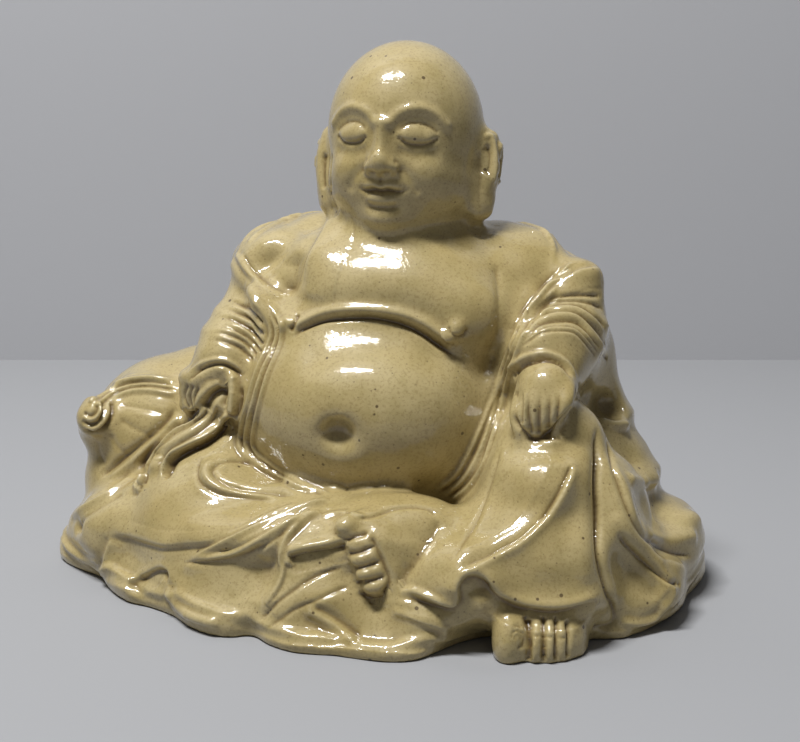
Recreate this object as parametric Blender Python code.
"""A seated monk figurine in cream glazed stoneware, built up as a potter builds it.

Each pressed or hand-rolled piece of clay is one object: two hollow body shells, the head with its
neck stub, ears, sleeves, hands, the robe over each leg, feet, the spread hem, the sack with its
knot, cord and sash. Neighbours meet at luted seams. Units are metres, +Z is up, it faces -Y.
"""

import math

import bmesh
import bpy
from mathutils import Euler, Matrix, Vector
from mathutils.bvhtree import BVHTree

MM = 0.001

# Whole figure: the size it is made at, and the size that the places and forms below are drawn at
FIGURE_WIDTH = 197 * MM
FIGURE_DEPTH = 140 * MM
FIGURE_HEIGHT = 155 * MM
DRAWN_WIDTH = 197 * MM
DRAWN_DEPTH = 140 * MM
DRAWN_HEIGHT = 155 * MM

# Clay and seams
WALL = 6 * MM
SEAM = 0.3 * MM
SEAM_Y = 12 * MM
FAR = 300 * MM

# Torso: belly, chest with two breasts, shoulders, hips, and the robe over the back
BELLY_WIDTH = 80 * MM
BELLY_DEPTH = 72 * MM
BELLY_HEIGHT = 62 * MM
BELLY_AT = Vector((0, -3, 52)) * MM
NAVEL_WIDTH = 13 * MM
NAVEL_Z = 51 * MM
CHEST_WIDTH = 76 * MM
CHEST_DEPTH = 46 * MM
CHEST_HEIGHT = 40 * MM
CHEST_AT = Vector((3, 3, 84)) * MM
BREAST_WIDTH = 36 * MM
BREAST_SPREAD = 42 * MM
BREAST_AT = Vector((3.4, -9, 80)) * MM
NIPPLE_BALL = 4.8 * MM
NIPPLE_SPREAD = 48 * MM
NIPPLE_Z = 77 * MM
SHOULDER_BALL = 33 * MM
SHOULDER_SPREAD = 70 * MM
SHOULDER_AT = Vector((4, 12, 84)) * MM
HIPS_WIDTH = 104 * MM
HIPS_DEPTH = 84 * MM
HIPS_HEIGHT = 76 * MM
HIPS_AT = Vector((0, 16, 26)) * MM
BACK_WIDTH = 118 * MM
BACK_DEPTH = 74 * MM
BACK_HEIGHT = 108 * MM
BACK_AT = Vector((4, 30, 34)) * MM
ROBE_LUMPS = (
    ((5, 20, 80), (104, 52, 44)),
    ((-30, 19, 87.5), (42, 25, 24)),
    ((-20, 23, 94), (30, 22, 20)),
    ((36.5, 15, 89), (38, 30, 28)),
    ((33, 20, 92), (26, 22, 23)),
    ((3, 32, 18), (130, 74, 58)),
    ((3, 32, 6), (144, 75, 28)),
    ((-46, 28, 8), (60, 66, 30)),
    ((54, 30, 10), (58, 66, 38)),
)

# Head, ears and neck
HEAD_WIDTH = 45 * MM
HEAD_DEPTH = 48 * MM
HEAD_HEIGHT = 51 * MM
HEAD_AT = Vector((7.2, 10, 127.5)) * MM
HEAD_TURN = -4
HEAD_TILT = -8
CHEEK_WIDTH = 43 * MM
NOSE_WIDTH = 8.5 * MM
NECK_WIDTH = 30 * MM
NECK_AT = Vector((6, 10, 101)) * MM
VENT_BORE = 13 * MM
VENT_TOP = 100 * MM
EAR_WIDTH = 10 * MM
EAR_FLAT = 0.6

# Arms: sleeves and hands
RIGHT_SLEEVE_WIDTH = 25 * MM
LEFT_SLEEVE_WIDTH = 28 * MM
CUFF_WIDTH = 24 * MM
RIGHT_SLEEVE_PATH = ((-30, 14, 85), (-34.8, 10, 76), (-38.5, -1, 68), (-40.5, -11, 62))
LEFT_SLEEVE_PATH = ((37, 16, 88), (48, 15, 83), (54, 5, 74), (53.5, -8, 69), (52.5, -14, 68))
LEFT_SLEEVE_LUMPS = (
    ((56.2, 14, 60), (27, 38, 44)),
    ((60, 12, 43), (28, 40, 44)),
    ((58, 8, 88.5), (17, 18, 13)),
    ((67, 9, 27), (32, 44, 40)),
    ((83, 5, 13), (30, 48, 24)),
    ((45, 1, 66), (20, 26, 38)),
    ((45, -4, 58), (16, 24, 38)),
)
DRAPE_SCOOPS = (
    ((70, -5, 54), (15, 26, 13)),
    ((82, -12, 41), (15, 26, 12)),
    ((90, -17, 28), (14, 26, 11)),
)
FINGER_WIDTH = 5.6 * MM
THUMB_WIDTH = 6.6 * MM
LEFT_FINGER_WIDTH = 4.6 * MM
LEFT_THUMB_WIDTH = 4.8 * MM
RIGHT_PALM = ((-43, -14, 57), (18, 16, 16))
RIGHT_THUMB_PATH = ((-37, -17, 61), (-35.5, -20, 56), (-36.5, -21, 50))
RIGHT_FINGERS_Z = (60, 56, 52)
LEFT_PALM = ((54, -23, 64), (17, 19, 16))
LEFT_THUMB_PATH = ((47.5, -25, 62), (46.8, -29.5, 58), (48, -32, 53.5))
LEFT_FINGERS_X = ((50.5, 49.5), (54, 52), (57.3, 54.5), (60, 57))

# Legs under the robe, and feet
RIGHT_LEG_LUMPS = (
    ((-12, -34, 13), (60, 46, 42)),
    ((-40, -22, 18), (56, 50, 42)),
    ((-45, -14, 30), (36, 34, 36)),
    ((-62, -18, 13), (52, 44, 32)),
    ((-74, -13, 9), (40, 34, 24)),
    ((-4, -46, 7), (44, 38, 28)),
    ((16, -40, 29), (40, 24, 15)),
    ((-79, -12, 6), (28, 24, 18)),
    ((-60, -27, 6), (34, 26, 18)),
    ((-39, -40, 6), (36, 26, 18)),
    ((4, -50, 6), (36, 26, 16)),
)
RIGHT_SHIN_PATH = ((-64, -24, 13), (-30, -44, 15), (8, -44, 22))
SHIN_WIDTH = 26 * MM
LEFT_LEG_LUMPS = (
    ((55, -19, 46), (32, 30, 30)),
    ((54, -26, 33), (36, 36, 44)),
    ((51, -34, 19), (52, 42, 38)),
    ((50, -36, 13), (58, 40, 18)),
    ((36, -46, 17), (34, 32, 26)),
    ((27, -55, 10), (24, 18, 14)),
    ((34, -8, 36), (52, 34, 34)),
    ((70, -18, 22), (28, 44, 46)),
    ((77, -20, 9), (34, 38, 24)),
)
RIGHT_TOE_WIDTH = 5.6 * MM
RIGHT_BIG_TOE_WIDTH = 7 * MM
LEFT_TOE_SIZE = Vector((5.4, 14, 15)) * MM
LEFT_BIG_TOE_SIZE = Vector((10, 16, 18.5)) * MM
RIGHT_FOOT_PATH = ((13, -50, 25), (20, -47, 23), (27, -42, 22))
RIGHT_FOOT_WIDTH = 16 * MM
RIGHT_BALL_PATH = ((10, -49, 29), (15.5, -52, 22), (18.5, -53, 15))
RIGHT_BALL_WIDTH = 12 * MM
RIGHT_BIG_TOE = (6.2, -52.5, 31)
RIGHT_TOES = ((8.8, -54.8, 27.4), (10.2, -56.8, 23.6), (11.8, -57.8, 20), (14.2, -58, 16.4))
LEFT_FOOT = ((58, -46, 6), (24, 26, 17))
LEFT_BIG_TOE = (50.2, -55.3, 4)
LEFT_TOES = ((57, -54.4, 3.4), (60.9, -53.4, 3.2), (64.4, -51.2, 2.9), (67, -48, 2.6))

# Folds of the robe: ridges laid over the forms above
FOLD_WIDTH = 6 * MM
FOLD_FLAT = 0.75
BACK_FOLD_WIDTH = 11 * MM
LAP_FOLDS = (
    ((-2, -37, 32), (-11, -51, 30), (-19, -55, 25), (-29, -57, 21), (-42, -54, 16)),
    ((6, -55, 26), (-9, -57, 23), (-11, -60, 18), (-14, -64, 10)),
    ((-6, -33, 35), (-23, -36, 34), (-36, -37, 34), (-41, -33, 36), (-36, -29, 38)),
)
KNEE_FOLDS = (
    ((62, -37, 46), (60, -42, 39), (56, -45, 33), (51, -50, 29), (43, -52, 25), (37, -51, 19)),
    ((70, -26, 44), (74, -28, 38), (77, -32, 31), (83, -30, 22), (91, -33, 13)),
    ((36, -51, 17), (40, -52, 20), (44, -54, 18), (52, -56, 14), (62, -55, 13), (70, -49, 14)),
)
DRAPE_FOLDS = (
    ((60, -7, 50), (68, 2, 49), (71, 16, 47)),
    ((73, -9, 36), (79, -3, 34), (81, 14, 31)),
    ((82, -16, 23), (88, -9, 21), (93, 4, 19)),
    ((46, -4, 83), (54, -3, 86), (62.3, 5, 83)),
    ((45, -11, 78), (55, -10, 81), (64.5, 1, 76)),
    ((45, -18, 74), (55, -18, 78), (63.5, -6, 71)),
)
SLEEVE_FOLDS = (
    ((-47, 5, 82), (-43, -3, 82), (-38, -6, 80), (-32, -4, 77)),
    ((-48, -1, 76), (-44, -8, 77), (-38, -10, 76), (-31, -8, 71)),
    ((-49, -7, 71), (-45, -14, 73), (-38, -15, 72), (-30, -12, 67)),
)
BACK_FOLDS = (
    ((-30, 44, 84), (-44, 58, 44), (-58, 60, 10)),
    ((-8, 50, 86), (-15, 66.5, 44), (-22, 68.5, 8)),
    ((16, 50, 86), (22, 66.5, 44), (28, 68.5, 8)),
    ((38, 44, 84), (50, 58, 44), (62, 60, 10)),
)

# Robe edges: rolled strips along the opening of the robe, from each shoulder to the lap
EDGE_WIDTH = 6 * MM
EDGE_FLAT = 0.55
RIGHT_EDGE_PATH = (
    (-40, 2, 92), (-33, -12, 85), (-27.5, -16, 78), (-27, -18, 71), (-27, -25, 64),
    (-29, -27, 55), (-33, -21, 45), (-29, -22, 39), (-18, -26, 33), (-5, -27, 29.5),
)
LEFT_EDGE_PATH = (
    (12, -26, 30), (24, -21, 32), (33, -22, 42), (37, -16, 55), (40, -11, 66), (43, -9, 76), (48, -4, 85),
)
COLLAR_PATH = (
    (-42, 7, 93), (-37, 20, 99), (-20, 32, 101), (4, 38, 101), (28, 34, 101), (43, 21, 98), (49, 5, 89),
)

# Sack, its knot and cord, and the sash that hangs from the right hand
SACK_WIDTH = 56 * MM
SACK_DEPTH = 56 * MM
SACK_HEIGHT = 54 * MM
SACK_AT = Vector((-66, 10, 32)) * MM
SACK_MOUTH = ((-82, -6, 40), (20, 20, 20))
SACK_SHOULDER = ((-56, 13, 42), (44, 46, 40))
SACK_BELLY = ((-74, 0, 22), (36, 40, 34))
KNOT_WIDTH = 15 * MM
KNOT_ROLL = 3.8 * MM
KNOT_AT = Vector((-83.5, -13.5, 44)) * MM
KNOT_FACING = (-0.55, -0.8, 0.2)
CORD_WIDTH = 5.5 * MM
CORD_FLAT = 0.6
CORD_PATH = ((-82, -8, 50), (-77, -3, 52.5), (-68.5, -5, 54.5), (-58, -9, 54))
SASH_WIDTH = 6.5 * MM
SASH_PATH = ((-42, -20, 47), (-47, -24, 43), (-54, -26, 37), (-60, -27, 31), (-66, -27, 27))

# Hem spread on the table: outline points (x, y) with the height of the lip there
HEM_OUTLINE = (
    (-98.4, -9, 11), (-95.5, -19, 9), (-87.5, -25.5, 5), (-79.5, -29.5, 5), (-74.5, -33, 6), (-70, -40, 7),
    (-61.5, -47, 7), (-55, -48.5, 5), (-45, -53.5, 7), (-38.5, -59.5, 7), (-30, -63.5, 7), (-23.5, -63, 6),
    (-19.5, -60.5, 5), (-14, -65.3, 6), (-5, -69, 6), (6, -68.3, 6), (19, -69.3, 6), (28, -66, 6), (34, -57, 5),
    (42, -48, 4), (56, -44, 4), (68, -43, 5), (79.5, -40, 6), (88.5, -27.5, 6), (93.5, -16.5, 6), (94.5, -8, 7),
    (98.2, 5, 8), (98.6, 14, 9), (94.5, 30, 8), (87, 47, 8), (66, 61, 6), (40, 68.5, 8), (5, 70.5, 7),
    (-32, 68.5, 8), (-62, 59.5, 6), (-84, 45, 8), (-96, 20, 7),
)
HEM_RISE = 20 * MM
HEM_STEPS = 2
HEM_RINGS = 6

# Glaze colours
CREAM = (0.42, 0.35, 0.19)
SKIN = (0.45, 0.37, 0.21)
SACK_CREAM = (0.36, 0.29, 0.15)


def at(point):
    """A point or a size given in millimetres."""
    return Vector(point) * MM


def ball(centre, size, turn=(0, 0, 0)):
    """An ellipsoid of clay: its centre, its full sizes, and its turns about X, Y and Z in degrees."""
    turned = Euler([math.radians(angle) for angle in turn]).to_matrix().to_4x4()
    shape = Matrix.Translation(centre) @ turned @ Matrix.Diagonal([s / 2 for s in size]).to_4x4()

    def add(builder):
        bmesh.ops.create_icosphere(builder, subdivisions=4, radius=1, matrix=shape)

    return add


def lumps(table):
    """The ellipsoids of a table of centres and sizes in millimetres."""
    return [ball(at(centre), at(size)) for centre, size in table]


def block(low, high):
    """A plain box between two corners."""
    low, high = Vector(low), Vector(high)
    shape = Matrix.Translation((low + high) / 2) @ Matrix.Diagonal(high - low).to_4x4()

    def add(builder):
        bmesh.ops.create_cube(builder, size=1, matrix=shape)

    return add


def smooth_path(points, steps):
    """Points along a Catmull-Rom curve through the given points, with steps per span."""
    ends = [2 * points[0] - points[1], *points, 2 * points[-1] - points[-2]]
    path = []
    for a, b, c, d in zip(ends, ends[1:], ends[2:], ends[3:]):
        for step in range(steps):
            t = step / steps
            bend = (2 * a - 5 * b + 4 * c - d) * t**2 + (3 * b - a - 3 * c + d) * t**3
            path.append((2 * b + (c - a) * t + bend) / 2)
    return path + [points[-1]]


def roll(path, ups, widths, sides=12, flat=1.0):
    """A roll of clay with rounded ends along a path, with an up direction and a width at each point.

    flat is its thickness along up as a share of its width.
    """
    rings = []
    for index, point in enumerate(path):
        along = (path[min(index + 1, len(path) - 1)] - path[max(index - 1, 0)]).normalized()
        side = along.cross(ups[index]).normalized()
        rings.append((point, along, side, side.cross(along), widths[index] / 2))
    full = list(rings)
    for share, out in ((0.93, 0.36), (0.6, 0.8)):
        point, along, side, over, radius = rings[0]
        full.insert(0, (point - along * radius * out * flat, along, side, over, radius * share))
        point, along, side, over, radius = rings[-1]
        full.append((point + along * radius * out * flat, along, side, over, radius * share))

    def add(builder):
        loops = []
        for point, along, side, over, radius in full:
            loop = []
            for number in range(sides):
                angle = 2 * math.pi * number / sides
                out = side * math.cos(angle) + over * math.sin(angle) * flat
                loop.append(builder.verts.new(point + out * radius))
            loops.append(loop)
        for lower, upper in zip(loops, loops[1:]):
            for number in range(sides):
                after = (number + 1) % sides
                builder.faces.new((lower[number], lower[after], upper[after], upper[number]))
        builder.faces.new(list(reversed(loops[0])))
        builder.faces.new(loops[-1])

    return add


def limb(points, widths, steps=4, up=(0, 0, 1)):
    """A round roll through points given in millimetres, with a width at each of them."""
    path = smooth_path([at(point) for point in points], steps)
    spans = smooth_path([Vector((width, 0, 0)) for width in widths], steps)
    return roll(path, [Vector(up)] * len(path), [span.x for span in spans])


def tree_of(*meshes):
    """A search tree over the faces of one or more meshes."""
    corners = []
    faces = []
    for mesh in meshes:
        start = len(corners)
        corners += [vertex.co.copy() for vertex in mesh.vertices]
        faces += [[start + corner for corner in face.vertices] for face in mesh.polygons]
    return BVHTree.FromPolygons(corners, faces)


def shape(*adders):
    """One mesh out of separate closed shapes."""
    builder = bmesh.new()
    for add in adders:
        add(builder)
    bmesh.ops.recalc_face_normals(builder, faces=builder.faces)
    mesh = bpy.data.meshes.new("form")
    builder.to_mesh(mesh)
    builder.free()
    return mesh


def modified(mesh, *modifiers):
    """The mesh after the given modifiers: pairs of a modifier kind and its settings."""
    holder = bpy.data.objects.new("holder", mesh)
    bpy.context.scene.collection.objects.link(holder)
    for kind, settings in modifiers:
        modifier = holder.modifiers.new(kind.title(), kind)
        for name, value in settings.items():
            setattr(modifier, name, value)
    seen = holder.evaluated_get(bpy.context.evaluated_depsgraph_get())
    result = bpy.data.meshes.new_from_object(seen)
    bpy.data.objects.remove(holder)
    return result


def clay(adders, voxel=1.6, faces=1500, melt=6):
    """Lumps of clay pressed into one smooth skin of about the given number of triangles."""
    skin = modified(shape(*adders), ("REMESH", {"mode": "VOXEL", "voxel_size": voxel * MM}),
                    ("SMOOTH", {"factor": 0.5, "iterations": melt}), ("TRIANGULATE", {}))
    share = min(1.0, faces / max(1, len(skin.polygons)))
    return modified(skin, ("DECIMATE", {"ratio": share}))


def laid(tree, points, width, flat, steps=3):
    """A flattened roll laid on a surface along points given in millimetres."""
    path = []
    ups = []
    for point in smooth_path([at(p) for p in points], steps):
        spot, normal, _, _ = tree.find_nearest(point)
        path.append(spot)
        ups.append(normal)
    return roll(path, ups, [width] * len(path), 12, flat)


def band(tree, points, width, flat):
    """The skin of one flattened roll laid on a surface."""
    return clay([laid(tree, points, width, flat)], voxel=width / MM / 7, faces=45 * len(points), melt=2)


def draped(base, table, width, faces, voxel=1.3):
    """A form with a table of folds laid over it."""
    def whole(builder):
        builder.from_mesh(base)

    tree = tree_of(base)
    ridges = [laid(tree, points, width, FOLD_FLAT) for points in table]
    return clay([whole, *ridges], voxel, faces, melt=3)


def grown(mesh, distance):
    """A copy of the mesh with its skin moved out by a distance."""
    builder = bmesh.new()
    builder.from_mesh(mesh)
    builder.normal_update()
    moves = [vertex.normal * distance for vertex in builder.verts]
    for vertex, move in zip(builder.verts, moves):
        vertex.co += move
    copy = bpy.data.meshes.new("grown")
    builder.to_mesh(copy)
    builder.free()
    return copy


def mend(builder):
    """Take off loose flaps of skin and close pin holes."""
    for _ in range(8):
        crowded = [edge for edge in builder.edges if len(edge.link_faces) > 2]
        near = {face for edge in crowded for face in edge.link_faces}
        flaps = [face for face in near if any(edge.is_boundary for edge in face.edges)]
        bmesh.ops.delete(builder, geom=flaps or list(near), context="FACES")
    holes = [edge for edge in builder.edges if edge.is_boundary]
    filled = bmesh.ops.holes_fill(builder, edges=holes, sides=0)["faces"]
    bmesh.ops.triangulate(builder, faces=filled)


def main_island(mesh):
    """The mesh with only its largest connected part left."""
    builder = bmesh.new()
    builder.from_mesh(mesh)
    bmesh.ops.remove_doubles(builder, verts=builder.verts, dist=0.00002)
    bmesh.ops.triangulate(builder, faces=builder.faces)
    mend(builder)
    left = set(builder.verts)
    islands = []
    while left:
        island = []
        edge = [left.pop()]
        while edge:
            vertex = edge.pop()
            island.append(vertex)
            near = [link.other_vert(vertex) for link in vertex.link_edges]
            fresh = [other for other in near if other in left]
            left.difference_update(fresh)
            edge.extend(fresh)
        islands.append(island)
    islands.sort(key=len)
    scraps = [vertex for island in islands[:-1] for vertex in island]
    bmesh.ops.delete(builder, geom=scraps, context="VERTS")
    builder.to_mesh(mesh)
    builder.free()
    return mesh


def cut(mesh, *cutters, gap=SEAM):
    """The mesh with each cutter taken out of it, leaving a seam of the given width."""
    for cutter in cutters:
        tool = bpy.data.objects.new("tool", grown(cutter, gap))
        bpy.context.scene.collection.objects.link(tool)
        mesh = modified(mesh, ("BOOLEAN", {"operation": "DIFFERENCE", "solver": "EXACT", "object": tool}))
        bpy.data.objects.remove(tool)
    return main_island(mesh)


def piece(name, mesh, colour):
    """One named piece of the figurine at the size it is made, with its own glaze."""
    mesh = modified(mesh, ("TRIANGULATE", {}))
    shares = (FIGURE_WIDTH / DRAWN_WIDTH, FIGURE_DEPTH / DRAWN_DEPTH, FIGURE_HEIGHT / DRAWN_HEIGHT)
    mesh.transform(Matrix.Diagonal(shares).to_4x4())
    mesh.name = name
    mesh.shade_smooth()
    glaze = bpy.data.materials.new(name)
    glaze.use_nodes = True
    surface = glaze.node_tree.nodes["Principled BSDF"]
    surface.inputs["Base Color"].default_value = (*colour, 1)
    surface.inputs["Roughness"].default_value = 0.18
    mesh.materials.clear()
    mesh.materials.append(glaze)
    thing = bpy.data.objects.new(name, mesh)
    bpy.context.scene.collection.objects.link(thing)
    return thing


for old in list(bpy.data.objects):
    bpy.data.objects.remove(old, do_unlink=True)

# Body: one form, hollow from below, parted into a front and a back shell
across = Vector((0.5, 0, 0))
belly_size = Vector((BELLY_WIDTH, BELLY_DEPTH, BELLY_HEIGHT))
chest_size = Vector((CHEST_WIDTH, CHEST_DEPTH, CHEST_HEIGHT))
hips_size = Vector((HIPS_WIDTH, HIPS_DEPTH, HIPS_HEIGHT))
back_size = Vector((BACK_WIDTH, BACK_DEPTH, BACK_HEIGHT))
pairs_of_lumps = []
for side in (-1, 1):
    breast_size = Vector((1, 0.6, 0.7)) * BREAST_WIDTH
    pairs_of_lumps.append(ball(BREAST_AT + side * across * BREAST_SPREAD, breast_size))
    pairs_of_lumps.append(ball(SHOULDER_AT + side * across * SHOULDER_SPREAD, [SHOULDER_BALL] * 3))
torso = clay([
    ball(BELLY_AT, belly_size),
    ball(CHEST_AT, chest_size),
    ball(HIPS_AT, hips_size),
    ball(NECK_AT, Vector((1.4, 1.3, 0.8)) * NECK_WIDTH),
    ball(BACK_AT, back_size),
    *pairs_of_lumps,
    *lumps(ROBE_LUMPS),
], voxel=2.0, faces=9000, melt=8)
body = draped(torso, BACK_FOLDS, BACK_FOLD_WIDTH, 2600, voxel=1.8)
body_tree = tree_of(body)
thin = Vector((2, 2, 2)) * WALL
hollow = clay([
    ball(BELLY_AT, belly_size - thin * 1.4),
    ball(CHEST_AT, chest_size - thin * 1.2),
    ball(HIPS_AT, hips_size - thin),
    ball(BACK_AT, back_size - thin * 1.3),
    ball(Vector((BACK_AT.x, BACK_AT.y - WALL, WALL)), back_size - thin * 1.5),
], voxel=2.5, faces=400, melt=8)
below = shape(block((-FAR, -FAR, -FAR), (FAR, FAR, 0)))

# Head with its neck stub, which stands in the body's neck socket
head_turn = (HEAD_TILT, 0, HEAD_TURN)
head_axes = Euler([math.radians(angle) for angle in head_turn]).to_matrix()


def on_head(x, y, z):
    """A point in millimetres from the middle of the head, along the head's own axes."""
    return HEAD_AT + head_axes @ at((x, y, z))


head_size = Vector((HEAD_WIDTH, HEAD_DEPTH, HEAD_HEIGHT))
head_form = clay([
    ball(on_head(0, 0, 2), head_size, head_turn),
    ball(on_head(0, -3, -12), (CHEEK_WIDTH, HEAD_DEPTH * 0.8, HEAD_HEIGHT * 0.66), head_turn),
    ball(on_head(0, -12, -22), (HEAD_WIDTH * 0.5, HEAD_WIDTH * 0.36, HEAD_WIDTH * 0.28), head_turn),
    ball(on_head(0, -22.5, -9), Vector((1, 0.85, 0.8)) * NOSE_WIDTH, head_turn),
    ball(on_head(0, -21.5, -4), Vector((0.55, 0.6, 1.4)) * NOSE_WIDTH, head_turn),
    ball(NECK_AT, Vector((1, 1, 1.1)) * NECK_WIDTH),
], voxel=1.3, faces=1400, melt=5)
vent = shape(limb(((NECK_AT.x / MM, NECK_AT.y / MM, 60), (NECK_AT.x / MM, NECK_AT.y / MM, VENT_TOP / MM)),
                  [VENT_BORE, VENT_BORE], up=(0, 1, 0)))
piece("head", cut(head_form, vent, gap=0), SKIN)
for side, name in ((-1, "right_ear"), (1, "left_ear")):
    ear_line = [on_head(side * 24, 4, 0.2), on_head(side * 25, 2, -9), on_head(side * 22, 0, -21)]
    ear_path = smooth_path(ear_line, 4)
    outward = [Vector((side, 0, 0))] * len(ear_path)
    ear_roll = roll(ear_path, outward, [EAR_WIDTH] * len(ear_path), 12, EAR_FLAT)
    ear = clay([ear_roll], voxel=0.9, faces=300, melt=3)
    piece(name, cut(ear, head_form, body), SKIN)

navel_at = body_tree.ray_cast(Vector((BELLY_AT.x, -FAR, NAVEL_Z)), Vector((0, 1, 0)))[0]
navel = clay([ball(navel_at, Vector((1, 0.5, 0.9)) * NAVEL_WIDTH)], voxel=0.8, faces=160, melt=1)
behind = shape(block((-FAR, SEAM_Y - SEAM / 2, -FAR), (FAR, FAR, FAR)))
before = shape(block((-FAR, -FAR, -FAR), (FAR, SEAM_Y + SEAM / 2, FAR)))
piece("front_shell", cut(cut(body, hollow, below, behind, navel, gap=0), head_form), SKIN)
piece("back_shell", cut(cut(body, hollow, below, before, gap=0), head_form), CREAM)
for side, name in ((-1, "right_nipple"), (1, "left_nipple")):
    line = Vector((BREAST_AT.x + side * NIPPLE_SPREAD / 2, -FAR, NIPPLE_Z))
    spot = body_tree.ray_cast(line, Vector((0, 1, 0)))[0]
    pad = clay([ball(spot, [NIPPLE_BALL] * 3)], voxel=0.5, faces=90, melt=1)
    piece(name, cut(pad, body), SKIN)

# Hem: a slab rolled out, lifted in waves round its edge and rising to the body
rim = smooth_path([at(point) for point in HEM_OUTLINE + HEM_OUTLINE[:1]], HEM_STEPS)[:-1]
middle = sum(rim, Vector()) / len(rim)


def hem_form():
    """The closed slab under the figure, out to its wavy edge."""
    builder = bmesh.new()
    rings = []
    for ring in range(1, HEM_RINGS + 1):
        share = ring / HEM_RINGS
        loop = []
        for point in rim:
            spot = middle.lerp(point, share)
            lip = point.z * min(1, share * 1.2)
            if ring == HEM_RINGS:
                lip *= 0.55
            loop.append(builder.verts.new((spot.x, spot.y, lip + HEM_RISE * (1 - share) ** 1.4)))
        rings.append(loop)
    rings.append([builder.verts.new((*middle.lerp(point, 0.985).xy, 0)) for point in rim])
    peak = builder.verts.new((middle.x, middle.y, HEM_RISE))
    for inner, outer in zip(rings, rings[1:]):
        for number, corner in enumerate(inner):
            builder.faces.new((corner, outer[number], outer[number - 1], inner[number - 1]))
    for number, corner in enumerate(rings[0]):
        builder.faces.new((peak, corner, rings[0][number - 1]))
    builder.faces.new(rings[-1])
    bmesh.ops.recalc_face_normals(builder, faces=builder.faces)
    mesh = bpy.data.meshes.new("hem")
    builder.to_mesh(mesh)
    builder.free()
    return mesh


hem = hem_form()

# Legs under the robe: the folded right leg across the lap and the raised left knee
shin = limb(RIGHT_SHIN_PATH, [SHIN_WIDTH, SHIN_WIDTH * 1.1, SHIN_WIDTH * 0.9])
right_leg = draped(clay([*lumps(RIGHT_LEG_LUMPS), shin], faces=4000, melt=10), LAP_FOLDS, FOLD_WIDTH, 950)
left_leg = draped(clay(lumps(LEFT_LEG_LUMPS), faces=4000, melt=10), KNEE_FOLDS, FOLD_WIDTH, 950)

# Feet, each a pad with five toes
toe_size = Vector((1, 1, 1)) * RIGHT_TOE_WIDTH
right_foot = clay([
    limb(RIGHT_FOOT_PATH, [RIGHT_FOOT_WIDTH, RIGHT_FOOT_WIDTH, RIGHT_FOOT_WIDTH * 1.15]),
    limb(RIGHT_BALL_PATH, [RIGHT_BALL_WIDTH] * 3, up=(0, 1, 0)),
    ball(at(RIGHT_BIG_TOE), [RIGHT_BIG_TOE_WIDTH] * 3),
    *[ball(at(spot), toe_size) for spot in RIGHT_TOES],
], voxel=1.0, faces=560, melt=2)
left_foot = clay([
    ball(*[at(value) for value in LEFT_FOOT]),
    ball(at(LEFT_BIG_TOE), LEFT_BIG_TOE_SIZE),
    *[ball(at(spot), LEFT_TOE_SIZE) for spot in LEFT_TOES],
], voxel=1.0, faces=560, melt=2)

# Arms: sleeves ending in a cuff, and hands pressed into them
right_arm = clay([
    limb(RIGHT_SLEEVE_PATH, [RIGHT_SLEEVE_WIDTH, RIGHT_SLEEVE_WIDTH, RIGHT_SLEEVE_WIDTH, CUFF_WIDTH]),
], faces=2000)
right_sleeve = draped(right_arm, SLEEVE_FOLDS, FOLD_WIDTH * 0.8, 750)
left_arm = clay([
    limb(LEFT_SLEEVE_PATH, [LEFT_SLEEVE_WIDTH, LEFT_SLEEVE_WIDTH, LEFT_SLEEVE_WIDTH, CUFF_WIDTH, CUFF_WIDTH]),
    *lumps(LEFT_SLEEVE_LUMPS),
], faces=4000, melt=10)
scoops = shape(*lumps(DRAPE_SCOOPS))
left_sleeve = cut(draped(left_arm, DRAPE_FOLDS, FOLD_WIDTH, 1000), scoops, gap=0)
right_fingers = [((-46, -20, z), (-52, -17, z - 1), (-52, -11, z - 1)) for z in RIGHT_FINGERS_Z]
right_hand = clay([
    ball(*[at(value) for value in RIGHT_PALM]),
    limb(RIGHT_THUMB_PATH, [THUMB_WIDTH] * 3, up=(0, 1, 0)),
    *[limb(path, [FINGER_WIDTH] * 3) for path in right_fingers],
], voxel=1.0, faces=650, melt=2)
left_fingers = [((top, -27, 66), (top, -32, 62), (tip, -33, 54.5)) for top, tip in LEFT_FINGERS_X]
left_hand = clay([
    ball(*[at(value) for value in LEFT_PALM]),
    limb(LEFT_THUMB_PATH, [LEFT_THUMB_WIDTH] * 3, up=(0, 1, 0)),
    *[limb(path, [LEFT_FINGER_WIDTH] * 3, up=(1, 0, 0)) for path in left_fingers],
], voxel=1.0, faces=650, melt=2)

# Robe edges along the opening
right_edge = band(tree_of(body, right_sleeve, right_leg), RIGHT_EDGE_PATH, EDGE_WIDTH, EDGE_FLAT)
left_edge = band(tree_of(body, left_sleeve, left_leg), LEFT_EDGE_PATH, EDGE_WIDTH, EDGE_FLAT)
collar = band(tree_of(body), COLLAR_PATH, EDGE_WIDTH, EDGE_FLAT)

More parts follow.
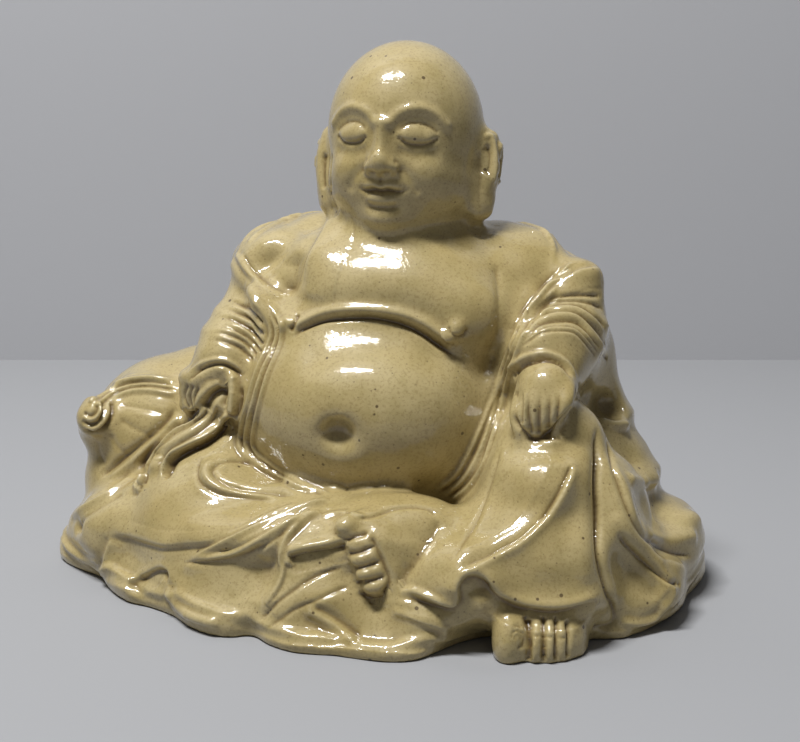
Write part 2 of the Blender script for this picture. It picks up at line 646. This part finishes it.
# Sack on the ground at the right side, its knot of wound clay, its cord, and the sash
sack = clay([
    ball(SACK_AT, (SACK_WIDTH, SACK_DEPTH, SACK_HEIGHT)),
    ball(*[at(value) for value in SACK_MOUTH]),
    ball(*[at(value) for value in SACK_SHOULDER]),
    ball(*[at(value) for value in SACK_BELLY]),
], faces=600)
facing = Vector(KNOT_FACING).normalized()
knot_side = facing.cross(Vector((0, 0, 1))).normalized()
knot_up = knot_side.cross(facing)
coil = []
for step in range(21):
    angle = 2 * math.pi * step / 12
    reach = KNOT_WIDTH / 2 - KNOT_ROLL / 2 - KNOT_ROLL * 0.6 * step / 12
    swing = knot_side * math.cos(angle) + knot_up * math.sin(angle)
    coil.append(KNOT_AT + swing * reach + facing * KNOT_ROLL * 0.5 * step / 12)
knot = clay([
    roll(coil, [facing] * len(coil), [KNOT_ROLL] * len(coil), 8),
    ball(KNOT_AT, [KNOT_WIDTH * 0.7] * 3),
], voxel=0.8, faces=420, melt=1)
cord = band(tree_of(sack), CORD_PATH, CORD_WIDTH, CORD_FLAT)
sash = band(tree_of(right_leg), SASH_PATH, SASH_WIDTH, CORD_FLAT)

piece("robe_hem", cut(cut(hem, hollow, gap=0), body, left_foot), CREAM)
right_leg_cutters = (body, hem, right_foot, left_leg, right_edge, left_edge, right_hand)
left_leg_cutters = (body, hem, left_foot, right_foot, left_edge)
piece("right_leg_robe", cut(cut(right_leg, *right_leg_cutters), below, gap=0), CREAM)
piece("left_leg_robe", cut(cut(left_leg, *left_leg_cutters), below, gap=0), CREAM)
piece("right_foot", cut(right_foot, body, hem), SKIN)
piece("left_foot", cut(left_foot, below, gap=0), SKIN)
piece("right_hand", cut(right_hand, body, right_edge), SKIN)
piece("left_hand", cut(left_hand, left_leg, body, left_edge), SKIN)
piece("right_sleeve", cut(right_sleeve, body, right_hand, right_leg, right_edge, collar), CREAM)
piece("left_sleeve", cut(left_sleeve, body, left_hand, left_leg, hem, left_edge, collar), CREAM)
piece("right_robe_edge", cut(right_edge, body, collar), CREAM)
piece("left_robe_edge", cut(left_edge, body, collar), CREAM)
piece("robe_collar", cut(collar, body), CREAM)
piece("sack", cut(sack, body, hem, right_leg, right_sleeve, right_hand), SACK_CREAM)
piece("sack_knot", cut(knot, sack), SACK_CREAM)
piece("sack_cord", cut(cord, sack, knot, right_leg, right_sleeve, right_hand), SACK_CREAM)
piece("sash_tail", cut(sash, right_leg, right_hand, sack, right_edge, right_sleeve), CREAM)
